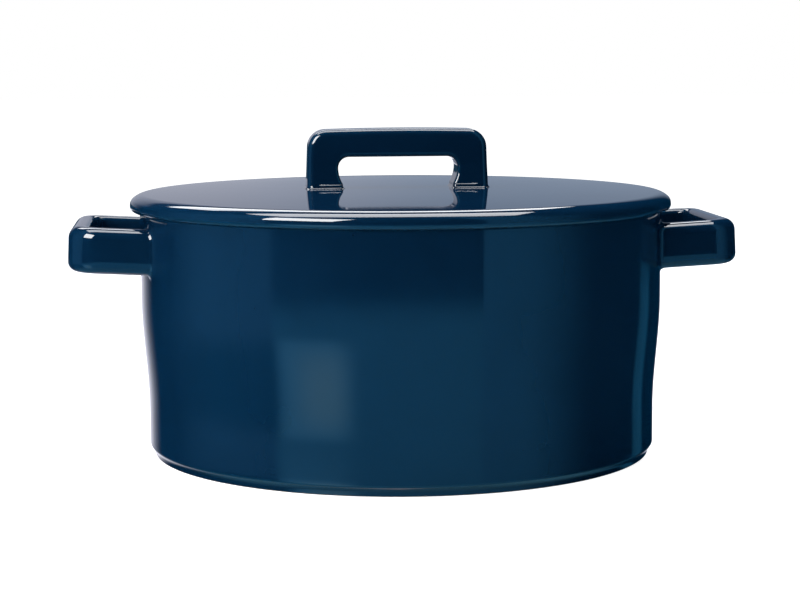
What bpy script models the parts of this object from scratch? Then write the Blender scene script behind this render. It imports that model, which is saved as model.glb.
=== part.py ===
"""Round covered casserole dish in glazed stoneware, in metres, +Z up.

A footed pot carries two loop handles just under its rim. A domed lid with a bar
handle rests on the rim and is kept centred by a ring under it. The origin is on
the pot's axis, at the plane that the dish stands on, and the handles lie along X.
"""

import math

import bmesh
import bpy

MM = 0.001

# Pot
RIM_HEIGHT = 103.5 * MM
UPPER_RADIUS = 110.9 * MM
LOWER_RADIUS = 108.2 * MM
SWELL_FROM = 20 * MM
SWELL_TO = 66 * MM
SWELL_STEPS = 6
WALL = 6.0 * MM
FLOOR_TOP = 9.5 * MM
FLOOR_FILLET = 14 * MM
RIM_ROUNDING = 1.6 * MM
HEEL_ROUNDING = 2.4 * MM
HEEL_TURN = 80

# Foot ring under the pot
FOOT_HEIGHT = 3.4 * MM
FOOT_RADIUS = 106.6 * MM
FOOT_WIDTH = 6.0 * MM
FOOT_EDGE = 0.6 * MM
FOOT_RECESS = 2.6 * MM

# Lid, with its heights measured from the rim
LID_RADIUS = 115 * MM
LID_TOP = 8.8 * MM
LID_DOME = 2.0 * MM
LID_DOME_POWER = 2.6
LID_EDGE_TOP = 6.3 * MM
LID_EDGE_ROUNDING = 1.6 * MM
LID_EDGE_START = 75
LID_EDGE_BOTTOM = 2.9 * MM
LID_SEAT_RADIUS = 110.6 * MM
LID_THICKNESS = 6.2 * MM
RING_PLAY = 1.6 * MM
RING_WIDTH = 5.0 * MM
RING_DEPTH = 6.5 * MM
RING_ROUNDING = 1.5 * MM

# Side handles, in each one's own tilted frame
LOOP_LENGTH = 28.9 * MM
LOOP_WIDTH = 74 * MM
LOOP_STRAP = 8.2 * MM
LOOP_HEIGHT = 18.0 * MM
LOOP_MIDDLE = 89.4 * MM
LOOP_TILT = 3.2
LOOP_CORNER = 12.5 * MM
LOOP_INNER_CORNER = 5.5 * MM
LOOP_ROUNDING = 3.2 * MM
LOOP_ROOT = 10 * MM

# Lid handle, which is luted on a little to the left of the lid's middle
BAR_CENTRE = -1.6 * MM
BAR_FOOT_WIDTH = 78.0 * MM
BAR_TOP_WIDTH = 75.2 * MM
BAR_HEIGHT = 34.0 * MM
BAR_CROWN = 0.4 * MM
BAR_THICKNESS = 11.9 * MM
BAR_DEPTH = 16 * MM
BAR_CORNER = 7 * MM
BAR_LEG = 12.2 * MM
BAR_INNER_CORNER = 4.6 * MM
BAR_FLARE_RADIUS = 13.4 * MM
BAR_FLARE_ANGLE = 39
BAR_ROUNDING = 3.0 * MM

GAP = 0.3 * MM
MERGE = 0.01 * MM
TURN_STEPS = 72
ROUNDING_STEPS = 3
CORNER_STEPS = 5
INNER_CORNER_STEPS = 4
DOME_STEPS = 8
UNDER_STEPS = 4
BEVEL_FROM = 60
FLAT_WITHIN = 1

GLAZE = (0.006, 0.030, 0.075, 1.0)


def clear_scene():
    for item in list(bpy.data.objects):
        bpy.data.objects.remove(item, do_unlink=True)


def add_collection(name):
    group = bpy.data.collections.new(name)
    bpy.context.scene.collection.children.link(group)
    return group


def add_glaze(name, roughness):
    glaze = bpy.data.materials.new(name)
    glaze.use_nodes = True
    shader = glaze.node_tree.nodes["Principled BSDF"]
    shader.inputs["Base Color"].default_value = GLAZE
    shader.inputs["Roughness"].default_value = roughness
    shader.inputs["Metallic"].default_value = 0.0
    return glaze


def add_empty(name, group, height):
    empty = bpy.data.objects.new(name, None)
    empty.location.z = height
    group.objects.link(empty)
    return empty


def arc(centre, radius, start, end, steps=ROUNDING_STEPS):
    """Points along an arc, both ends included, with the angles in degrees."""
    angles = [math.radians(start + (end - start) * i / steps) for i in range(steps + 1)]
    return [(centre[0] + radius * math.cos(a), centre[1] + radius * math.sin(a)) for a in angles]


def add_turned(name, profile, group, parent):
    """A solid turned about Z from (radius, height) points that run down its outer side."""
    mesh = bpy.data.meshes.new(name)
    edges = [(i, i + 1) for i in range(len(profile) - 1)]
    mesh.from_pydata([(radius, 0.0, height) for radius, height in profile], edges, [])
    solid = bpy.data.objects.new(name, mesh)
    group.objects.link(solid)
    solid.parent = parent
    screw = solid.modifiers.new("Turn", "SCREW")
    screw.steps = TURN_STEPS
    screw.render_steps = TURN_STEPS
    screw.use_merge_vertices = True
    screw.merge_threshold = MERGE
    return solid


def add_flat(name, outline, thickness, group, parent):
    """A flat outline given its thickness, as one closed mesh."""
    curve = bpy.data.curves.new(name, "CURVE")
    curve.dimensions = "2D"
    curve.fill_mode = "BOTH"
    curve.extrude = thickness / 2
    spline = curve.splines.new("POLY")
    spline.points.add(len(outline) - 1)
    for point, (x, y) in zip(spline.points, outline):
        point.co = (x, y, 0.0, 1.0)
    spline.use_cyclic_u = True
    outline_curve = bpy.data.objects.new(name + "_outline", curve)
    group.objects.link(outline_curve)
    evaluated = outline_curve.evaluated_get(bpy.context.evaluated_depsgraph_get())
    mesh = bpy.data.meshes.new_from_object(evaluated)
    mesh.name = name

    shape = bmesh.new()
    shape.from_mesh(mesh)
    bmesh.ops.remove_doubles(shape, verts=shape.verts, dist=MERGE)
    bmesh.ops.dissolve_limit(shape, angle_limit=math.radians(FLAT_WITHIN), verts=shape.verts, edges=shape.edges)
    bmesh.ops.recalc_face_normals(shape, faces=shape.faces)
    shape.to_mesh(mesh)
    shape.free()

    solid = bpy.data.objects.new(name, mesh)
    group.objects.link(solid)
    solid.matrix_world = outline_curve.matrix_world
    solid.parent = parent
    bpy.data.objects.remove(outline_curve, do_unlink=True)
    return solid


def round_edges(solid, width):
    bevel = solid.modifiers.new("Rounding", "BEVEL")
    bevel.width = width
    bevel.segments = ROUNDING_STEPS
    bevel.limit_method = "ANGLE"
    bevel.angle_limit = math.radians(BEVEL_FROM)
    bevel.use_clamp_overlap = False


def make_cutter(solid):
    solid.hide_render = True
    solid.display_type = "WIRE"


def cut(solid, cutter):
    boolean = solid.modifiers.new("Fit", "BOOLEAN")
    boolean.operation = "DIFFERENCE"
    boolean.object = cutter


def finish(solid, glaze):
    solid.data.materials.clear()
    solid.data.materials.append(glaze)
    solid.data.shade_smooth()


def wall_radius(height):
    """The pot's outer radius: straight below, a soft swell, then straight to the rim."""
    share = min(max((height - SWELL_FROM) / (SWELL_TO - SWELL_FROM), 0.0), 1.0)
    return LOWER_RADIUS + (UPPER_RADIUS - LOWER_RADIUS) * share * share * (3 - 2 * share)


def pot_profile():
    inner_top = UPPER_RADIUS - WALL
    inner_bottom = LOWER_RADIUS - WALL
    swell = [SWELL_FROM + (SWELL_TO - SWELL_FROM) * i / SWELL_STEPS for i in range(SWELL_STEPS + 1)]
    floor_corner = (inner_bottom - FLOOR_FILLET, FLOOR_TOP + FLOOR_FILLET)
    heel = (LOWER_RADIUS - HEEL_ROUNDING, FOOT_HEIGHT + HEEL_ROUNDING)
    foot_inner = FOOT_RADIUS - FOOT_WIDTH
    return [
        (0.0, FLOOR_TOP),
        *arc(floor_corner, FLOOR_FILLET, -90, 0, CORNER_STEPS),
        (inner_top, SWELL_TO),
        *arc((inner_top + RIM_ROUNDING, RIM_HEIGHT - RIM_ROUNDING), RIM_ROUNDING, 180, 90),
        *arc((UPPER_RADIUS - RIM_ROUNDING, RIM_HEIGHT - RIM_ROUNDING), RIM_ROUNDING, 90, 0),
        *[(wall_radius(height), height) for height in reversed(swell)],
        *arc(heel, HEEL_ROUNDING, 0, -HEEL_TURN),
        (FOOT_RADIUS, FOOT_HEIGHT - FOOT_EDGE / 2),
        (FOOT_RADIUS, FOOT_EDGE),
        (FOOT_RADIUS - FOOT_EDGE, 0.0),
        (foot_inner + FOOT_EDGE, 0.0),
        (foot_inner, FOOT_EDGE),
        (foot_inner - FOOT_RECESS / 2, FOOT_RECESS),
        (0.0, FOOT_RECESS),
    ]


def dome_height(radius):
    return LID_TOP - LID_DOME * (radius / LID_RADIUS) ** LID_DOME_POWER


def dome_points(lift, radii):
    return [(radius, dome_height(radius) + lift) for radius in radii]


def lid_profile():
    edge = LID_RADIUS - LID_EDGE_ROUNDING
    ring_outer = UPPER_RADIUS - WALL - RING_PLAY
    ring_inner = ring_outer - RING_WIDTH
    ring_bottom = -RING_DEPTH + RING_ROUNDING
    dome_radii = [edge * i / DOME_STEPS for i in range(DOME_STEPS)]
    under_radii = [ring_inner * i / UNDER_STEPS for i in range(UNDER_STEPS, -1, -1)]
    return [
        *dome_points(0.0, dome_radii),
        *arc((edge, LID_EDGE_TOP - LID_EDGE_ROUNDING), LID_EDGE_ROUNDING, LID_EDGE_START, 0),
        (LID_RADIUS, LID_EDGE_BOTTOM),
        (LID_RADIUS - LID_EDGE_ROUNDING / 2, LID_EDGE_BOTTOM - LID_EDGE_ROUNDING / 2),
        (LID_SEAT_RADIUS, GAP),
        (ring_outer, GAP),
        *arc((ring_outer - RING_ROUNDING, ring_bottom), RING_ROUNDING, 0, -90),
        *arc((ring_inner + RING_ROUNDING, ring_bottom), RING_ROUNDING, -90, -180),
        *dome_points(-LID_THICKNESS, under_radii),
    ]


def loop_outline():
    """A side handle seen from above: X runs out from the pot's wall, Y along it."""
    half = LOOP_WIDTH / 2
    outer = (LOOP_LENGTH - LOOP_CORNER, half - LOOP_CORNER)
    inner_x = LOOP_LENGTH - LOOP_STRAP - LOOP_INNER_CORNER
    inner_y = half - LOOP_STRAP - LOOP_INNER_CORNER
    return [
        (-LOOP_ROOT, -half),
        *arc((outer[0], -outer[1]), LOOP_CORNER, -90, 0, CORNER_STEPS),
        *arc(outer, LOOP_CORNER, 0, 90, CORNER_STEPS),
        (-LOOP_ROOT, half),
        (-LOOP_ROOT, half - LOOP_STRAP),
        *arc((inner_x, inner_y), LOOP_INNER_CORNER, 90, 0),
        *arc((inner_x, -inner_y), LOOP_INNER_CORNER, 0, -90),
        (-LOOP_ROOT, -half + LOOP_STRAP),
    ]


def bar_half_outline():
    """Half of the lid handle seen from the front, from the middle of its top, round its leg."""
    foot = BAR_FOOT_WIDTH / 2
    top = BAR_TOP_WIDTH / 2
    leg_inside = top - BAR_LEG
    under = BAR_HEIGHT - BAR_THICKNESS
    inner = (leg_inside - BAR_INNER_CORNER, under - BAR_INNER_CORNER)
    flare = (leg_inside - BAR_FLARE_RADIUS, inner[1])
    flare_end = arc(flare, BAR_FLARE_RADIUS, 0, -BAR_FLARE_ANGLE, INNER_CORNER_STEPS)
    shoulder = BAR_HEIGHT - BAR_CROWN - BAR_CORNER
    return [
        (0.0, BAR_HEIGHT),
        *arc((top - BAR_CORNER, shoulder), BAR_CORNER, 90, 0, CORNER_STEPS),
        (foot, 0.0),
        (flare_end[-1][0], 0.0),
        *reversed(flare_end),
        *arc(inner, BAR_INNER_CORNER, 0, 90, INNER_CORNER_STEPS)[1:],
    ]


def bar_outline():
    half = bar_half_outline()
    return half + [(-x, y) for x, y in reversed(half[1:])]


def build_pot(parts, cutters):
    pot = add_empty("pot", parts, 0.0)
    body = add_turned("pot_body", pot_profile(), parts, pot)
    finish(body, add_glaze("pot_glaze", 0.08))

    clear = UPPER_RADIUS + GAP
    wall_cutter = add_turned(
        "wall_cutter",
        [(0.0, RIM_HEIGHT), (clear, RIM_HEIGHT), (clear, SWELL_TO), (0.0, SWELL_TO)],
        cutters,
        pot,
    )
    make_cutter(wall_cutter)

    for name, turn in (("right_side_handle", 0.0), ("left_side_handle", math.pi)):
        loop = add_flat(name, loop_outline(), LOOP_HEIGHT, parts, pot)
        loop.location = (UPPER_RADIUS * math.cos(turn), 0.0, LOOP_MIDDLE)
        loop.rotation_euler = (0.0, -math.radians(LOOP_TILT), turn)
        round_edges(loop, LOOP_ROUNDING)
        cut(loop, wall_cutter)
        finish(loop, add_glaze(name + "_glaze", 0.08))


def build_lid(parts, cutters):
    lid = add_empty("lid", parts, RIM_HEIGHT)
    plate = add_turned("lid_plate", lid_profile(), parts, lid)
    finish(plate, add_glaze("lid_glaze", 0.06))

    reach = BAR_FOOT_WIDTH
    dome = dome_points(GAP, [reach * i / DOME_STEPS for i in range(DOME_STEPS + 1)])
    dome_cutter = add_turned("dome_cutter", [*dome, (reach, 0.0), (0.0, 0.0)], cutters, lid)
    make_cutter(dome_cutter)

    bar = add_flat("lid_handle", bar_outline(), BAR_DEPTH, parts, lid)
    bar.location.x = BAR_CENTRE
    bar.rotation_euler = (math.pi / 2, 0.0, 0.0)
    round_edges(bar, BAR_ROUNDING)
    cut(bar, dome_cutter)
    finish(bar, add_glaze("lid_handle_glaze", 0.06))


def main():
    clear_scene()
    parts = add_collection("covered_casserole_dish")
    cutters = add_collection("cutters")
    build_pot(parts, cutters)
    build_lid(parts, cutters)


main()
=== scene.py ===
"""The looks of a round covered casserole dish in glazed stoneware.

Each of the five pieces of clay is made again with its fine surface: turned pot and lid,
strap handles that meet them in small fillets, and a glossy deep teal-blue glaze.
"""

import math

import bmesh
import bpy
import numpy as np
from mathutils import Matrix, Vector


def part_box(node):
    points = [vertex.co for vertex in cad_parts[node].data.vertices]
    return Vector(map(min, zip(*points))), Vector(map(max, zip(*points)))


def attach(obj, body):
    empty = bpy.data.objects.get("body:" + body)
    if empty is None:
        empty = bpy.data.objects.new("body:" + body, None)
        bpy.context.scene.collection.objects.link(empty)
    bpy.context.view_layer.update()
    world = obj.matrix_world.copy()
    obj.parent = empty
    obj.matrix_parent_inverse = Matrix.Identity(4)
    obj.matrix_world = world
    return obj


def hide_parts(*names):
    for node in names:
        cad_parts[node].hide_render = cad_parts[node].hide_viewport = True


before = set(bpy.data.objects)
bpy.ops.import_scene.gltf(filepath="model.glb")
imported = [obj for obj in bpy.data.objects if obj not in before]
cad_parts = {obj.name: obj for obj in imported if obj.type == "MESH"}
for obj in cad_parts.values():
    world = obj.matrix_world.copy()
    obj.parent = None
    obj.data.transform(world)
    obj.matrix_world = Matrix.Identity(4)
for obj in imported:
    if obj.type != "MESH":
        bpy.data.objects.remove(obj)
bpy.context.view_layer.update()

MM = 0.001

# Pot. Every turn, lean, tilt and angle is in degrees.
RIM_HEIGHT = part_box("pot_body")[1].z
UPPER_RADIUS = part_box("pot_body")[1].x
LOWER_RADIUS = UPPER_RADIUS - 2.7 * MM
SWELL_FROM = 20 * MM
SWELL_TO = 66 * MM
WALL = 6.0 * MM
FLOOR_TOP = 9.5 * MM
FLOOR_FILLET = 14 * MM
RIM_ROUNDING = 0.6 * MM
HEEL_ROUNDING = 1.7 * MM
HEEL_TURN = 74
FOOT_HEIGHT = 3.3 * MM
FOOT_RADIUS = 106.2 * MM
FOOT_WIDTH = 6.0 * MM
FOOT_ROUNDING = 0.6 * MM
FOOT_RECESS = 2.6 * MM

# Lid, with its heights measured from the rim
LID_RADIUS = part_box("lid_plate")[1].x
LID_TOP = 8.8 * MM
LID_DOME = 1.95 * MM
LID_DOME_POWER = 2.6
LID_FACE_BOW = 8.0 * MM
LID_FACE_LEAN = 9
LID_EDGE_ROUNDING = 3.0 * MM
LID_SHOULDER = 8.0 * MM
LID_SHOULDER_LEAN = 47
LID_DOME_LEAN = 88
LID_SEAT_RADIUS = 110.6 * MM
LID_THICKNESS = 6.2 * MM
RING_PLAY = 1.6 * MM
RING_WIDTH = 5.0 * MM
RING_DEPTH = 6.5 * MM
RING_ROUNDING = 1.9 * MM

# Side handles, in each one's own tilted frame
LOOP_LENGTH = 28.9 * MM
LOOP_WIDTH = 74 * MM
LOOP_STRAP = 8.2 * MM
LOOP_HEIGHT = 18.8 * MM
LOOP_MIDDLE = 88.8 * MM
LOOP_TILT = 3.0
LOOP_CORNER = 12.5 * MM
LOOP_INNER_CORNER = 5.5 * MM
LOOP_TOP_ROUNDING = 4.8 * MM
LOOP_INNER_TOP_ROUNDING = 2.4 * MM
LOOP_BOTTOM_ROUNDING = 4.0 * MM
LOOP_ROOT = 1.0 * MM
LOOP_FILLET = 2.5 * MM

# Lid handle
BAR_CENTRE = -1.6 * MM
BAR_FOOT_WIDTH = 78.0 * MM
BAR_TOP_WIDTH = 76.0 * MM
BAR_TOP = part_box("lid_handle")[1].z - RIM_HEIGHT
BAR_CROWN = 0.4 * MM
BAR_THICKNESS = 11.9 * MM
BAR_DEPTH = 16 * MM
BAR_CORNER = 7.8 * MM
BAR_LEG = 12.6 * MM
BAR_INNER_CORNER = 4.6 * MM
BAR_FLARE_RADIUS = 13.4 * MM
BAR_FLARE_ANGLE = 39
BAR_ROUNDING = 2.8 * MM
BAR_INNER_ROUNDING = 1.4 * MM
BAR_LEG_FLARE = 0.9 * MM
BAR_LEG_FLARE_TOP = 20 * MM
BAR_LEG_FLARE_POWER = 1.4
BAR_FILLET = 1.8 * MM

# Clearances and the meshes' fineness
GAP = 0.3 * MM
SEAT_GAP = 0.1 * MM
SUNK = 0.03 * MM
TURN_STEPS = 288
ARC_STEPS = 8
BEND_STEPS = 24
SPACING = 1.5 * MM

# The bend radius at which glaze counts as thinnest, and the passes that blur that measure
GLAZE_BEND = 3.0 * MM
GLAZE_BLUR = 3


# ---------------------------------------------------------------- shapes

def smooth(share):
    """Eases a share from 0 to 1."""
    share = np.clip(share, 0.0, 1.0)
    return share * share * (3 - 2 * share)


def arc(centre, radius, start, end, steps=ARC_STEPS):
    """Points along an arc, both ends included, with the angles in degrees."""
    angles = np.radians(np.linspace(start, end, steps + 1))
    return [(centre[0] + radius * math.cos(a), centre[1] + radius * math.sin(a)) for a in angles]


def spaced(points):
    """The same path with points added, so that none are further apart than SPACING."""
    path = [points[0]]
    for start, end in zip(points, points[1:]):
        steps = max(1, math.ceil(math.dist(start, end) / SPACING))
        for i in range(1, steps + 1):
            path.append(tuple(a + (b - a) * i / steps for a, b in zip(start, end)))
    return path


def add_piece(name, points, faces, body, node):
    """One closed mesh, shaded smooth, that stands for a CAD node."""
    mesh = bpy.data.meshes.new(name)
    mesh.from_pydata([tuple(p) for p in points], [], faces)
    shape = bmesh.new()
    shape.from_mesh(mesh)
    bmesh.ops.recalc_face_normals(shape, faces=shape.faces)
    shape.to_mesh(mesh)
    shape.free()
    mesh.shade_smooth()
    mark_glaze(mesh)
    piece = bpy.data.objects.new(name, mesh)
    bpy.context.scene.collection.objects.link(piece)
    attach(piece, body)
    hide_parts(node)
    return piece


def mark_glaze(mesh):
    """Writes how sharply each point is curved, where glaze runs thin (1) or pools (-1)."""
    count = len(mesh.vertices)
    place = np.empty(count * 3)
    mesh.vertices.foreach_get("co", place)
    place = place.reshape(-1, 3)
    normal = np.empty(count * 3, np.float32)
    mesh.vertex_normals.foreach_get("vector", normal)
    normal = normal.reshape(-1, 3)
    ends = np.empty(len(mesh.edges) * 2, np.int32)
    mesh.edges.foreach_get("vertices", ends)
    first, last = ends.reshape(-1, 2).T
    step = place[last] - place[first]
    length = np.maximum((step**2).sum(1), 1e-12)
    total = np.zeros(count)
    near = np.zeros(count)
    np.add.at(total, first, -2 * (normal[first] * step).sum(1) / length)
    np.add.at(total, last, 2 * (normal[last] * step).sum(1) / length)
    np.add.at(near, first, 1)
    np.add.at(near, last, 1)
    near = np.maximum(near, 1)
    bend = np.clip(total / near * GLAZE_BEND, -1, 1)
    for _ in range(GLAZE_BLUR):
        around = np.zeros(count)
        np.add.at(around, first, bend[last])
        np.add.at(around, last, bend[first])
        bend = (bend + around / near) / 2
    mark = mesh.attributes.new("glaze_bend", "FLOAT", "POINT")
    mark.data.foreach_set("value", bend.astype(np.float32))


def turned(profile):
    """Points and faces of a closed solid turned about Z. The profile goes from axis to axis."""
    profile = spaced(profile)
    rings = profile[1:-1]
    angles = [2 * math.pi * k / TURN_STEPS for k in range(TURN_STEPS)]
    points = [(r * math.cos(a), r * math.sin(a), z) for r, z in rings for a in angles]
    start, end = len(points), len(points) + 1
    points += [(0.0, 0.0, profile[0][1]), (0.0, 0.0, profile[-1][1])]
    last = (len(rings) - 1) * TURN_STEPS
    faces = []
    for k in range(TURN_STEPS):
        k2 = (k + 1) % TURN_STEPS
        faces.append((start, k, k2))
        faces.append((end, last + k2, last + k))
        for row in range(0, last, TURN_STEPS):
            faces.append((row + k, row + TURN_STEPS + k, row + TURN_STEPS + k2, row + k2))
    return points, faces


def wall_radius(height):
    """The pot's outer radius: straight below, a soft swell, then straight to the rim."""
    share = smooth((height - SWELL_FROM) / (SWELL_TO - SWELL_FROM))
    return LOWER_RADIUS + (UPPER_RADIUS - LOWER_RADIUS) * share


def pot_profile():
    """The pot's section: floor, inside, rim, outside, heel, foot ring and recess."""
    inner_top = UPPER_RADIUS - WALL
    inner_bottom = LOWER_RADIUS - WALL
    floor_corner = (inner_bottom - FLOOR_FILLET, FLOOR_TOP + FLOOR_FILLET)
    lip = RIM_HEIGHT - RIM_ROUNDING
    foot_inner = FOOT_RADIUS - FOOT_WIDTH
    swell = np.linspace(SWELL_TO, SWELL_FROM, 32)
    heel = (LOWER_RADIUS - HEEL_ROUNDING, FOOT_HEIGHT + HEEL_ROUNDING)
    return [
        (0.0, FLOOR_TOP),
        *arc(floor_corner, FLOOR_FILLET, -90, 0, 20),
        (inner_top, SWELL_TO),
        *arc((inner_top + RIM_ROUNDING, lip), RIM_ROUNDING, 180, 90),
        *arc((UPPER_RADIUS - RIM_ROUNDING, lip), RIM_ROUNDING, 90, 0),
        *[(wall_radius(height), height) for height in swell],
        *arc(heel, HEEL_ROUNDING, 0, -HEEL_TURN, 14),
        *arc((FOOT_RADIUS - FOOT_ROUNDING, FOOT_ROUNDING), FOOT_ROUNDING, 0, -90),
        *arc((foot_inner + FOOT_ROUNDING, FOOT_ROUNDING), FOOT_ROUNDING, -90, -180),
        *arc((foot_inner - GAP, FOOT_RECESS - GAP), GAP, 0, 90, 3),
        (0.0, FOOT_RECESS),
    ]


def dome_height(radius):
    """The height of the lid's top above the rim."""
    return LID_TOP - LID_DOME * (radius / LID_RADIUS) ** LID_DOME_POWER


def lid_edge():
    """The lid's edge from its dome down: a soft shoulder, a rounding and a bowed face."""
    bends = (
        (LID_FACE_BOW, 0, LID_FACE_LEAN),
        (LID_EDGE_ROUNDING, LID_FACE_LEAN, LID_SHOULDER_LEAN),
        (LID_SHOULDER, LID_SHOULDER_LEAN, LID_DOME_LEAN),
    )
    radius, height, points = LID_RADIUS, 0.0, []
    for bend, start, end in bends:
        lean = math.radians(start)
        centre = (radius - bend * math.cos(lean), height - bend * math.sin(lean))
        points += arc(centre, bend, start, end, 14)
        radius, height = points.pop()
    points.append((radius, height))
    rise = dome_height(radius) - height
    return [(r, z + rise) for r, z in reversed(points)]


def lid_profile():
    """The lid's section: dome, edge, seat, locating ring and underside."""
    edge = lid_edge()
    edge_start, face_bottom = edge[0][0], edge[-1][1]
    tuck = face_bottom - SEAT_GAP
    lower = (LID_RADIUS - tuck, face_bottom)
    ring_outer = UPPER_RADIUS - WALL - RING_PLAY
    ring_inner = ring_outer - RING_WIDTH
    ring_bottom = -RING_DEPTH + RING_ROUNDING
    parts = [
        *[(r, dome_height(r)) for r in np.linspace(0, edge_start, 60)[:-1]],
        *edge,
        *arc(lower, tuck, 0, -90, 16)[1:],
        (LID_SEAT_RADIUS, SEAT_GAP),
        (ring_outer, SEAT_GAP),
        *arc((ring_outer - RING_ROUNDING, ring_bottom), RING_ROUNDING, 0, -90),
        *arc((ring_inner + RING_ROUNDING, ring_bottom), RING_ROUNDING, -90, -180),
        *[(r, dome_height(r) - LID_THICKNESS) for r in np.linspace(ring_inner, 0, 40)],
    ]
    return [(r, RIM_HEIGHT + z) for r, z in parts]


def outward(path):
    """Unit normals of a path in its plane, on the right of its direction."""
    path = np.asarray(path)
    along = np.gradient(path, axis=0)
    along /= np.linalg.norm(along, axis=1)[:, None]
    return np.column_stack([along[:, 1], -along[:, 0]])


def matched(path, count):
    """The path as count points at even steps of its length."""
    path = np.asarray(path)
    run = np.concatenate([[0], np.cumsum(np.linalg.norm(np.diff(path, axis=0), axis=1))])
    even = np.linspace(0, run[-1], count)
    return np.column_stack([np.interp(even, run, path[:, k]) for k in (0, 1)])


def joined(stretches):
    """Pairs of outer and inner stretches, each resampled to the same count, end to end."""
    outer, inner = [], []
    for outer_stretch, inner_stretch, count in stretches:
        outer.append(matched(outer_stretch, count)[:-1])
        inner.append(matched(inner_stretch, count)[:-1])
    outer.append([stretches[-1][0][-1]])
    inner.append([stretches[-1][1][-1]])
    return np.vstack(outer), np.vstack(inner)


def whole(outer, inner):
    """Both paths with their mirror image across the first axis's zero, from the far foot on."""
    flip = np.array([-1, 1])
    return (
        np.vstack([outer, (outer[:-1] * flip)[::-1]]),
        np.vstack([inner, (inner[:-1] * flip)[::-1]]),
    )


def bar_paths():
    """The lid handle's outer and inner outlines, from its right foot to its left foot."""
    top = BAR_TOP_WIDTH / 2
    leg_inside = top - BAR_LEG
    under = BAR_TOP - BAR_THICKNESS
    bend = (leg_inside - BAR_INNER_CORNER, under - BAR_INNER_CORNER)
    flare = (leg_inside - BAR_FLARE_RADIUS, bend[1])
    shoulder = BAR_TOP - BAR_CROWN - BAR_CORNER
    foot = LID_TOP + BAR_FILLET
    spread = BAR_FOOT_WIDTH / 2 - top
    flared = [p for p in arc(flare, BAR_FLARE_RADIUS, -BAR_FLARE_ANGLE, 0, 60) if p[1] >= foot]
    heights = np.linspace(flared[0][1], bend[1], BEND_STEPS)
    leg = [(top + spread * (1 - z / shoulder), z) for z in heights]
    rise = [(top + spread * (1 - z / shoulder), z) for z in np.linspace(bend[1], shoulder, 8)]
    corner = arc((top - BAR_CORNER, shoulder), BAR_CORNER, 0, 90, BEND_STEPS)
    crown_end = top - BAR_CORNER
    across = np.linspace(crown_end, 0, BEND_STEPS)
    crest = [(x, BAR_TOP - BAR_CROWN * (x / crown_end) ** 2) for x in across]
    cut = bend[0]
    over = [p for p in crest if p[0] >= cut]
    after = [p for p in crest if p[0] <= cut]
    return whole(*joined([
        (leg, flared, 14),
        (rise + corner[1:] + over[1:], arc(bend, BAR_INNER_CORNER, 0, 90, BEND_STEPS), 40),
        ([over[-1]] + after, [(cut, under), (0.0, under)], 16),
    ]))


def loop_paths():
    """A side handle's outer and inner outlines from above, as (along the wall, out from it)."""
    half = LOOP_WIDTH / 2
    turn = LOOP_LENGTH - LOOP_CORNER
    inner_y = half - LOOP_STRAP - LOOP_INNER_CORNER
    inner_x = LOOP_LENGTH - LOOP_STRAP - LOOP_INNER_CORNER
    inner_half = half - LOOP_STRAP
    outer_bend = arc((half - LOOP_CORNER, turn), LOOP_CORNER, 0, 90, BEND_STEPS)
    inner_bend = arc((inner_y, inner_x), LOOP_INNER_CORNER, 0, 90, BEND_STEPS)
    reach = min(turn, inner_x)
    return whole(*joined([
        ([(half, LOOP_ROOT), (half, reach)], [(inner_half, LOOP_ROOT), (inner_half, reach)], 8),
        (
            [(half, reach)] + outer_bend + [(inner_y, LOOP_LENGTH)],
            [(inner_half, reach)] + inner_bend,
            40,
        ),
        ([(inner_y, LOOP_LENGTH), (0.0, LOOP_LENGTH)], [inner_bend[-1], (0.0, inner_bend[-1][1])], 16),
    ]))


def strap_section(outer, inner, half, rounding, inner_rounding):
    """The columns of a strap, all round its section.

    Each column is its path, its distance from the strap's middle plane, and its normal: the
    path's outward direction, how far it turns away from that, and the face it turns to.
    """
    outer_out, inner_out = outward(outer), -outward(inner)
    columns = []

    def edge_radius(path, face):
        radii = inner_rounding if path is inner else rounding
        return radii[0] if face < 0 else radii[1]

    def add_edge(path, out, face, start, end):
        radius = edge_radius(path, face)
        for a in np.radians(np.linspace(start, end, ARC_STEPS + 1)):
            inset = radius * (1 - math.cos(a))
            depth = face * (half - radius + radius * math.sin(a))
            columns.append((path - out * inset, depth, out, a, face))

    def add_side(path, out, start, steps=6):
        end = -start
        first = start * (half - edge_radius(path, start))
        last = end * (half - edge_radius(path, end))
        for depth in np.linspace(first, last, steps + 1)[1:-1]:
            columns.append((path, depth, out, 0.0, 1))

    def add_face(face, steps=7):
        first = inner - inner_out * edge_radius(inner, face)
        last = outer - outer_out * edge_radius(outer, face)
        if face > 0:
            first, last = last, first
        for share in np.linspace(0, 1, steps + 1)[1:-1]:
            path = first + (last - first) * share
            columns.append((path, face * half, outer_out, math.pi / 2, face))

    add_edge(inner, inner_out, -1, 0, 90)
    add_face(-1)
    add_edge(outer, outer_out, -1, 90, 0)
    add_side(outer, outer_out, -1)
    add_edge(outer, outer_out, 1, 0, 90)
    add_face(1)
    add_edge(inner, inner_out, 1, 90, 0)
    add_side(inner, inner_out, 1)
    return columns


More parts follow.
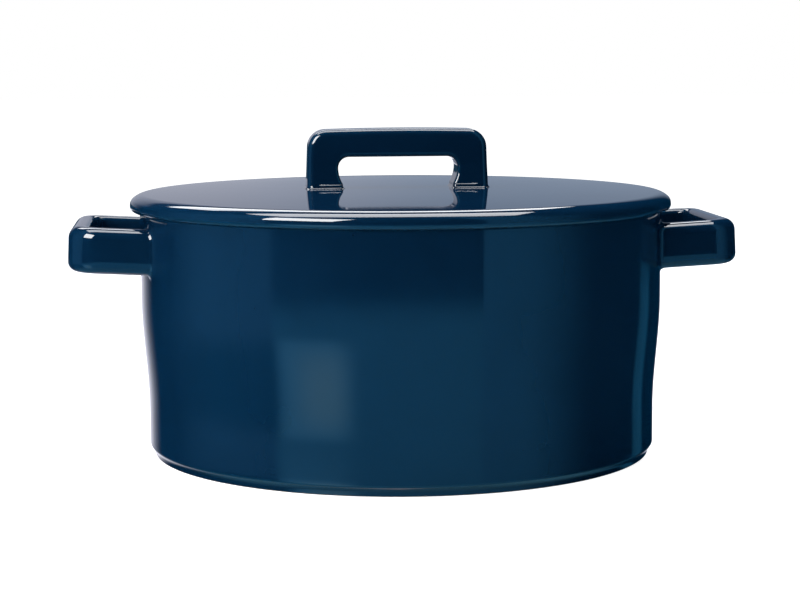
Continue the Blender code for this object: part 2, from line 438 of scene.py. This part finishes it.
def strap(paths, depth, rounding, inner_rounding, widening, place, root):
    """Points and faces of a strap with rounded edges that follows a pair of outlines.

    rounding is the outer edges' radius on the strap's low and high face. widening gives how
    much of its depth is added at a point of the outline. place turns a point of the outlines'
    plane and a depth into world coordinates, and root gives the rings that flare into the
    surface that each end stands on.
    """
    outer, inner = (np.asarray(path) for path in paths)
    columns = strap_section(outer, inner, depth / 2, rounding, inner_rounding)

    rows = []
    for i in range(len(outer)):
        wide = 1 + widening(outer[i])
        rows.append(np.array([place(path[i], d * wide) for path, d, _, _, _ in columns]))
    for end in (0, -1):
        normals = []
        for path, d, out, turn, face in columns:
            flat = place(path[end] + out[end] * math.cos(turn), d + face * math.sin(turn))
            normals.append(np.array(flat) - np.array(place(path[end], d)))
        fillet = root(rows[end], np.array(normals))
        rows = fillet[::-1] + rows if end == 0 else rows + fillet

    width = len(columns)
    points = np.vstack(rows)
    faces = []
    for row in range(0, (len(rows) - 1) * width, width):
        for k in range(width):
            k2 = (k + 1) % width
            faces.append((row + k, row + k2, row + width + k2, row + width + k))
    faces.append(tuple(range(width)))
    faces.append(tuple(range(len(points) - 1, len(points) - 1 - width, -1)))
    return points, faces


def flare(ring, normals, direction, land, radius):
    """Rings that carry a strap's end in a fillet onto the surface it stands on."""
    corner = land(ring, direction)
    wide = land(ring + normals * radius, direction)
    start = corner - direction * radius
    rings = []
    for t in np.linspace(0, 1, ARC_STEPS + 1):
        rings.append(start * (1 - t) ** 2 + corner * 2 * t * (1 - t) + wide * t**2)
    rings.append(wide + direction * GAP)
    return rings


def land_on_dome(ring, direction):
    """Each point's place on the lid's dome, straight below or above it."""
    spot = ring.copy()
    radius = np.hypot(ring[:, 0], ring[:, 1])
    spot[:, 2] = RIM_HEIGHT + dome_height(radius) - SUNK
    return spot


def land_on_wall(ring, direction):
    """Where each point meets the pot's upper wall, going along direction."""
    reach = UPPER_RADIUS - SUNK
    a = direction[0] ** 2 + direction[1] ** 2
    b = ring[:, 0] * direction[0] + ring[:, 1] * direction[1]
    c = ring[:, 0] ** 2 + ring[:, 1] ** 2 - reach**2
    t = (-b - np.sqrt(b * b - a * c)) / a
    return ring + t[:, None] * direction


def build_pot():
    """The pot, glazed all over but for the foot ring's underside."""
    points, faces = turned(pot_profile())
    pot = add_piece("glazed_pot", points, faces, "pot", "pot_body")
    pot.data.materials.append(glaze("pot_glaze", 0.0))
    pot.data.materials.append(bare_clay())
    for face in pot.data.polygons:
        low = all(pot.data.vertices[v].co.z < FOOT_ROUNDING / 2 for v in face.vertices)
        face.material_index = 1 if low else 0


def build_side_handle(side, sign, seed):
    """A loop of strap on the wall, on the +X side when sign is above 0 and else on the -X side."""
    tilt = Matrix.Rotation(-math.radians(LOOP_TILT), 3, "Y")
    turn = Matrix.Rotation(0.0 if sign > 0 else math.pi, 3, "Z")
    centre = Vector((UPPER_RADIUS, 0, LOOP_MIDDLE))

    def place(point, d):
        return turn @ (centre + tilt @ Vector((point[1], point[0], d)))

    inward = np.array(turn @ tilt @ Vector((-1, 0, 0)))

    def root(ring, normals):
        return flare(ring, normals, inward, land_on_wall, LOOP_FILLET)

    def widening(point):
        return 0.0

    rounding = (LOOP_BOTTOM_ROUNDING, LOOP_TOP_ROUNDING)
    inner_rounding = (LOOP_BOTTOM_ROUNDING, LOOP_INNER_TOP_ROUNDING)
    points, faces = strap(loop_paths(), LOOP_HEIGHT, rounding, inner_rounding, widening, place, root)
    node = side + "_side_handle"
    piece = add_piece("glazed_" + node, points, faces, "pot", node)
    piece.data.materials.append(glaze(node + "_glaze", seed))


def build_lid():
    """The lid, and the bar handle that stands on its dome."""
    points, faces = turned(lid_profile())
    lid = add_piece("glazed_lid", points, faces, "lid", "lid_plate")
    lid.data.materials.append(glaze("lid_glaze", 2.0))

    def place(point, d):
        return Vector((point[0] + BAR_CENTRE, d, RIM_HEIGHT + point[1]))

    def root(ring, normals):
        return flare(ring, normals, np.array([0.0, 0.0, -1.0]), land_on_dome, BAR_FILLET)

    def widening(point):
        low = max(0.0, BAR_LEG_FLARE_TOP - point[1]) / (BAR_LEG_FLARE_TOP - LID_TOP)
        return 2 * BAR_LEG_FLARE / BAR_DEPTH * low**BAR_LEG_FLARE_POWER

    rounding = (BAR_ROUNDING, BAR_ROUNDING)
    inner_rounding = (BAR_INNER_ROUNDING, BAR_INNER_ROUNDING)
    points, faces = strap(bar_paths(), BAR_DEPTH, rounding, inner_rounding, widening, place, root)
    bar = add_piece("glazed_lid_handle", points, faces, "lid", "lid_handle")
    bar.data.materials.append(glaze("lid_handle_glaze", 3.0))


# ---------------------------------------------------------------- materials

# Colours, roughness and relief, with the textures' scales in cells per metre
GLAZE_DEEP = (0.0012, 0.0118, 0.032, 1)
GLAZE_SOFT = (0.0015, 0.0135, 0.036, 1)
GLAZE_THIN = (0.0025, 0.022, 0.048, 1)
GLAZE_POOLED = (0.0008, 0.0070, 0.020, 1)
GLAZE_IOR = 1.52
GLAZE_ROUGHNESS = (0.03, 0.065)
MOTTLE_SCALE = 22.0
BREAK_SCALE = 420.0
BREAK_DEPTH = 0.3
SPECK_SCALE = 160.0
SPECK_SPREAD = 70.0
SMEAR_SCALE = 35.0
SWELL_SCALE = 30.0
SWELL_HEIGHT = 0.02 * MM
RIPPLE_SCALE = 260.0
RIPPLE_HEIGHT = 0.0012 * MM
CLAY_DARK = (0.42, 0.33, 0.24, 1)
CLAY_PALE = (0.60, 0.50, 0.39, 1)
CLAY_ROUGHNESS = 0.85
GRAIN_SCALE = 1800.0
GRAIN_HEIGHT = 0.05 * MM


def add_node(tree, kind, values=None, **settings):
    """A node with its settings, and its inputs given as numbers or as other nodes' outputs."""
    made = tree.nodes.new(kind)
    for key, value in settings.items():
        setattr(made, key, value)
    for key, value in (values or {}).items():
        if isinstance(value, bpy.types.NodeSocket):
            tree.links.new(value, made.inputs[key])
        else:
            made.inputs[key].default_value = value
    return made


def mixed(tree, share, first, second):
    """The first colour at share 0, the second at share 1."""
    made = add_node(tree, "ShaderNodeMix", {0: share, 6: first, 7: second}, data_type="RGBA")
    return made.outputs[2]


def layered(tree, colour, layers):
    """The colour with others laid over it in turn, each by its own share."""
    for share, over in layers:
        colour = mixed(tree, share, colour, over)
    return colour


def math_node(tree, operation, *values):
    return add_node(tree, "ShaderNodeMath", dict(enumerate(values)), operation=operation).outputs[0]


def product(tree, first, second):
    return math_node(tree, "MULTIPLY", first, second)


def ranged(tree, value, low, high, to_low=0.0, to_high=1.0):
    """The value from low to high, mapped smoothly to other limits and held beyond them."""
    inputs = {"Value": value, "From Min": low, "From Max": high, "To Min": to_low, "To Max": to_high}
    return add_node(tree, "ShaderNodeMapRange", inputs, interpolation_type="SMOOTHSTEP").outputs[0]


def bump(tree, height, distance, **normal):
    inputs = {"Height": height, "Distance": distance, **normal}
    return add_node(tree, "ShaderNodeBump", inputs).outputs[0]


def noise(tree, place, scale, detail=2.0, roughness=0.5):
    """A noise texture's value, from about 0.3 to 0.7."""
    inputs = {"Vector": place, "Scale": scale, "Detail": detail, "Roughness": roughness}
    return add_node(tree, "ShaderNodeTexNoise", inputs).outputs[0]


def new_material(name):
    material = bpy.data.materials.new(name)
    material.use_nodes = True
    tree = material.node_tree
    return material, tree, tree.nodes["Principled BSDF"]


def glaze(name, seed):
    """Glossy deep teal-blue glaze: thinner on edges, pooled in corners, with a soft ripple."""
    material, tree, shader = new_material(name)
    texture = add_node(tree, "ShaderNodeTexCoord").outputs["Object"]
    place = add_node(tree, "ShaderNodeVectorMath", {0: texture, 1: (seed, seed, seed)}).outputs[0]
    bend = add_node(tree, "ShaderNodeAttribute", attribute_name="glaze_bend").outputs["Fac"]

    mottle = ranged(tree, noise(tree, place, MOTTLE_SCALE, 3.0), 0.35, 0.65)
    colour = mixed(tree, mottle, GLAZE_DEEP, GLAZE_SOFT)
    breaking = product(tree, noise(tree, place, BREAK_SCALE), BREAK_DEPTH)
    thin = ranged(tree, math_node(tree, "ADD", bend, breaking), 0.55, 1.25)
    pooled = ranged(tree, bend, -0.15, -0.8)
    cells = add_node(tree, "ShaderNodeTexVoronoi", {"Vector": place, "Scale": SPECK_SCALE})
    speck = ranged(tree, cells.outputs["Distance"], 0.10, 0.05)
    rare = ranged(tree, noise(tree, place, SPECK_SPREAD), 0.60, 0.66)
    specks = product(tree, speck, rare)
    colour = layered(tree, colour, ((thin, GLAZE_THIN), (pooled, GLAZE_POOLED), (specks, GLAZE_POOLED)))
    tree.links.new(colour, shader.inputs["Base Color"])

    smear = noise(tree, place, SMEAR_SCALE, 4.0)
    tree.links.new(ranged(tree, smear, 0.3, 0.7, *GLAZE_ROUGHNESS), shader.inputs["Roughness"])
    shader.inputs["IOR"].default_value = GLAZE_IOR

    swell = bump(tree, noise(tree, place, SWELL_SCALE, 1.0), SWELL_HEIGHT)
    ripple = bump(tree, noise(tree, place, RIPPLE_SCALE, 1.0), RIPPLE_HEIGHT, Normal=swell)
    tree.links.new(ripple, shader.inputs["Normal"])
    return material


def bare_clay():
    """The foot ring's underside, which is left unglazed: fine buff stoneware."""
    material, tree, shader = new_material("bare_clay")
    place = add_node(tree, "ShaderNodeTexCoord").outputs["Object"]
    grain = noise(tree, place, GRAIN_SCALE, 3.0, 0.7)
    tree.links.new(mixed(tree, grain, CLAY_DARK, CLAY_PALE), shader.inputs["Base Color"])
    shader.inputs["Roughness"].default_value = CLAY_ROUGHNESS
    tree.links.new(bump(tree, grain, GRAIN_HEIGHT), shader.inputs["Normal"])
    return material


# ---------------------------------------------------------------- studio

FLOOR_SIZE = 12.0
PALE = (0.80, 0.80, 0.80, 1)
WHITE = (1, 1, 1, 1)

# The camera, in metres, degrees and millimetres of lens
CAMERA_TURN = 5.5
CAMERA_DISTANCE = 0.898
CAMERA_HEIGHT = 0.1726
CAMERA_SIDE = -0.000368
CAMERA_PITCH = 6.927
CAMERA_ROLL = -0.262
CAMERA_LENS = 94.5

# Each light's place, the point it faces, its size, its radiance and what it lights. The
# overhead card hangs just under the overhead light, which would hide it at the same height.
MIDDLE = (0, 0, 0.08)
LIGHTS = {
    "overhead": ((0.0, 0.045, 0.66), (0, 0.045, 0), (0.70, 0.275), 9.0, "body colour"),
    "overhead_card": ((-0.03, 0.045, 0.65), (-0.03, 0.045, 0), (0.64, 0.27), 8.0, "reflections"),
    "back_top": ((-0.06, 0.68, 0.70), (0, -0.1, 0.11), (0.80, 0.28), 6.0, "both"),
    "side_left": ((-0.72, 0.06, 0.75), MIDDLE, (0.50, 0.40), 9.0, "body colour"),
    "key_left": ((-0.64, -0.60, 0.29), MIDDLE, (0.74, 0.13), 19.0, "body colour"),
    "key_card": ((-0.57, -0.54, 0.56), MIDDLE, (0.48, 0.52), 19.0, "reflections"),
}

# The room as the glaze reflects it. A side is an azimuth, from and to, with the soft widths
# outside it: 0 is the front and -90 the left. A height is where a part starts and is full.
SOFT_ROOM = (0.15, 0.15, 0.16, 1)
DARK_ROOM = (0.0, 0.02, 0.05, 1)
TABLE = (0.08, 0.45, 0.84, 1)
TABLE_SIDE = (-70.0, 40.0, 5.0, 20.0)
TABLE_HEIGHT = (-6.6, -7.6)
LIT_TABLE = (0.24, 0.95, 1.65, 1)
LIT_SIDE = (-54.0, -38.0, 10.0, 18.0)
LIT_HEIGHT = (-9.5, -14.5)
GLOW = (0.54, 1.28, 1.80, 1)
GLOW_SIDE = (-42.0, -38.0, 17.0, 14.0)
GLOW_HEIGHT = (-11.5, -19.5)
LEFT_HIGH = (0.06, 0.27, 0.56, 1)
LEFT_LOW = (0.0, 0.10, 0.22, 1)
LEFT_SIDE = (-90.0, -65.0, 40.0, 6.0)
LEFT_HEIGHT = (-9.0, -16.0)
RIGHT = (0.07, 0.38, 0.75, 1)
RIGHT_SIDE = (30.3, 45.0, 1.0, 45.0)
STRIP = (0.02, 0.17, 0.33, 1)
STRIP_SIDE = (125.0, 131.0, 5.0, 5.0)
STRIP_HEIGHT = (-5.0, -7.0)
UNDER = (0.15, 0.5, 0.75, 1)
UNDER_HEIGHT = (-25.0, -60.0)

# The backdrop behind the dish, from the horizon up and down
BACK_LEFT_SIDE = (-144.0, -172.0)
BACK_RIGHT_SIDE = (156.0, 166.0)
BACK_LEFT = (0.455, 0.475, 0.56, 1)
BACK_RIGHT = (0.275, 0.335, 0.435, 1)
BACK_SLANT = (-0.02, 0.14)
BACK_EDGE = (0.02, 0.06, 0.10, 1)
BACK_EDGE_HEIGHT = (0.0, -1.0)
BACK_TABLE = (1.1, 1.1, 1.25, 1)
BACK_TABLE_HEIGHT = (-4.5, -5.5)
BACK_TOP = (0.02, 0.03, 0.05, 1)
BACK_TOP_HEIGHT = (18.0, 23.0)


def build_floor():
    """A plain pale table that the camera sees as white, and the glaze's reflections leave out."""
    mesh = bpy.data.meshes.new("floor")
    half = FLOOR_SIZE / 2
    corners = [(-half, -half, 0), (half, -half, 0), (half, half, 0), (-half, half, 0)]
    mesh.from_pydata(corners, [], [(0, 1, 2, 3)])
    floor = bpy.data.objects.new("floor", mesh)
    bpy.context.scene.collection.objects.link(floor)
    material, tree, shader = new_material("pale_floor")
    shader.inputs["Base Color"].default_value = PALE
    shader.inputs["Roughness"].default_value = 0.9
    shader.inputs["Specular IOR Level"].default_value = 0.0
    shader.inputs["Emission Color"].default_value = WHITE
    seen = add_node(tree, "ShaderNodeLightPath").outputs["Is Camera Ray"]
    tree.links.new(seen, shader.inputs["Emission Strength"])
    mesh.materials.append(material)
    floor.visible_glossy = False


def build_camera():
    """The reference photo's viewpoint: turned a little, tipped down and slightly rolled."""
    lens = bpy.data.cameras.new("camera")
    lens.sensor_width = 36
    lens.lens = CAMERA_LENS
    lens.clip_start = 0.01
    camera = bpy.data.objects.new("camera", lens)
    bpy.context.scene.collection.objects.link(camera)
    turn = Matrix.Rotation(-math.radians(CAMERA_TURN), 4, "Z")
    place = Matrix.Translation((CAMERA_SIDE, -CAMERA_DISTANCE, CAMERA_HEIGHT))
    aim = Matrix.Rotation(math.radians(90 - CAMERA_PITCH), 4, "X")
    roll = Matrix.Rotation(math.radians(CAMERA_ROLL), 4, "Z")
    camera.matrix_world = turn @ place @ aim @ roll
    bpy.context.scene.camera = camera


def add_light(name, place, target, size, radiance):
    """A rectangular soft light, with its brightness given as radiance."""
    lamp = bpy.data.lights.new(name, "AREA")
    lamp.shape = "RECTANGLE"
    lamp.size, lamp.size_y = size
    lamp.energy = radiance * math.pi * size[0] * size[1]
    light = bpy.data.objects.new(name, lamp)
    bpy.context.scene.collection.objects.link(light)
    light.location = place
    light.rotation_mode = "QUATERNION"
    light.rotation_quaternion = (Vector(target) - Vector(place)).to_track_quat("-Z", "Y")
    light.visible_camera = False
    return light


def first_reflections_only(light):
    """Shows a light in the glaze, but not in one piece's reflection of another."""
    light.data.use_nodes = True
    tree = light.data.node_tree
    tree.nodes.clear()
    # The glossy depth is 1 in a first reflection and 2 in a reflection of a reflection.
    depth = add_node(tree, "ShaderNodeLightPath").outputs["Glossy Depth"]
    strength = math_node(tree, "LESS_THAN", depth, 1.5)
    emission = add_node(tree, "ShaderNodeEmission", {"Strength": strength})
    output = add_node(tree, "ShaderNodeOutputLight")
    tree.links.new(emission.outputs[0], output.inputs["Surface"])


def build_lights():
    """The lights, with each one kept to the glaze's own colour or its reflections as told."""
    for name, (place, target, size, radiance, use) in LIGHTS.items():
        light = add_light(name, place, target, size, radiance)
        light.visible_diffuse = use != "reflections"
        light.visible_glossy = use != "body colour"
    first_reflections_only(bpy.data.objects["key_card"])


def window(tree, value, low, high, soft_low, soft_high):
    """1 between low and high, falling to 0 over the soft widths outside them."""
    up = ranged(tree, value, low - soft_low, low)
    down = ranged(tree, value, high, high + soft_high, 1.0, 0.0)
    return product(tree, up, down)


def room_colour(tree, azimuth, height):
    """The table and the room in front of the dish and beside it."""
    table = product(tree, ranged(tree, height, *TABLE_HEIGHT), window(tree, azimuth, *TABLE_SIDE))
    lit_side = product(tree, table, window(tree, azimuth, *LIT_SIDE))
    lit = product(tree, lit_side, ranged(tree, height, *LIT_HEIGHT))
    glow = product(tree, window(tree, azimuth, *GLOW_SIDE), ranged(tree, height, *GLOW_HEIGHT))
    left_colour = mixed(tree, ranged(tree, height, *LEFT_HEIGHT), LEFT_HIGH, LEFT_LOW)
    strip = product(tree, window(tree, azimuth, *STRIP_SIDE), ranged(tree, height, *STRIP_HEIGHT))
    return layered(tree, DARK_ROOM, (
        (table, TABLE),
        (lit, LIT_TABLE),
        (window(tree, azimuth, *LEFT_SIDE), left_colour),
        (window(tree, azimuth, *RIGHT_SIDE), RIGHT),
        (strip, STRIP),
        (glow, GLOW),
        (ranged(tree, height, *UNDER_HEIGHT), UNDER),
    ))


def backdrop_colour(tree, across, height):
    """The backdrop: paler on the left, dark high up, and the table's edge and top below."""
    wall = mixed(tree, ranged(tree, across, *BACK_SLANT), BACK_LEFT, BACK_RIGHT)
    return layered(tree, wall, (
        (ranged(tree, height, *BACK_EDGE_HEIGHT), BACK_EDGE),
        (ranged(tree, height, *BACK_TABLE_HEIGHT), BACK_TABLE),
        (ranged(tree, height, *BACK_TOP_HEIGHT), BACK_TOP),
    ))


def build_world():
    """A plain white surround for the camera, and a soft dim studio for reflections."""
    world = bpy.data.worlds.new("studio")
    bpy.context.scene.world = world
    world.use_nodes = True
    tree = world.node_tree
    tree.nodes.clear()
    ray = add_node(tree, "ShaderNodeTexCoord").outputs["Generated"]
    across, away, up = add_node(tree, "ShaderNodeSeparateXYZ", {0: ray}).outputs
    towards = product(tree, away, -1.0)
    azimuth = math_node(tree, "DEGREES", math_node(tree, "ARCTAN2", across, towards))
    height = math_node(tree, "DEGREES", math_node(tree, "ARCSINE", up))

    left_part = ranged(tree, azimuth, *BACK_LEFT_SIDE)
    right_part = ranged(tree, azimuth, *BACK_RIGHT_SIDE)
    behind = math_node(tree, "ADD", left_part, right_part)
    path = add_node(tree, "ShaderNodeLightPath").outputs
    colour = layered(tree, room_colour(tree, azimuth, height), (
        (behind, backdrop_colour(tree, across, height)),
        (path["Is Diffuse Ray"], SOFT_ROOM),
        (path["Is Camera Ray"], WHITE),
    ))
    surround = add_node(tree, "ShaderNodeBackground", {"Color": colour})
    output = add_node(tree, "ShaderNodeOutputWorld")
    tree.links.new(surround.outputs[0], output.inputs["Surface"])


def main():
    bpy.context.scene.view_settings.view_transform = "Standard"
    build_pot()
    build_side_handle("right", 1, 1.0)
    build_side_handle("left", -1, 4.0)
    build_lid()
    build_floor()
    build_camera()
    build_lights()
    build_world()


main()
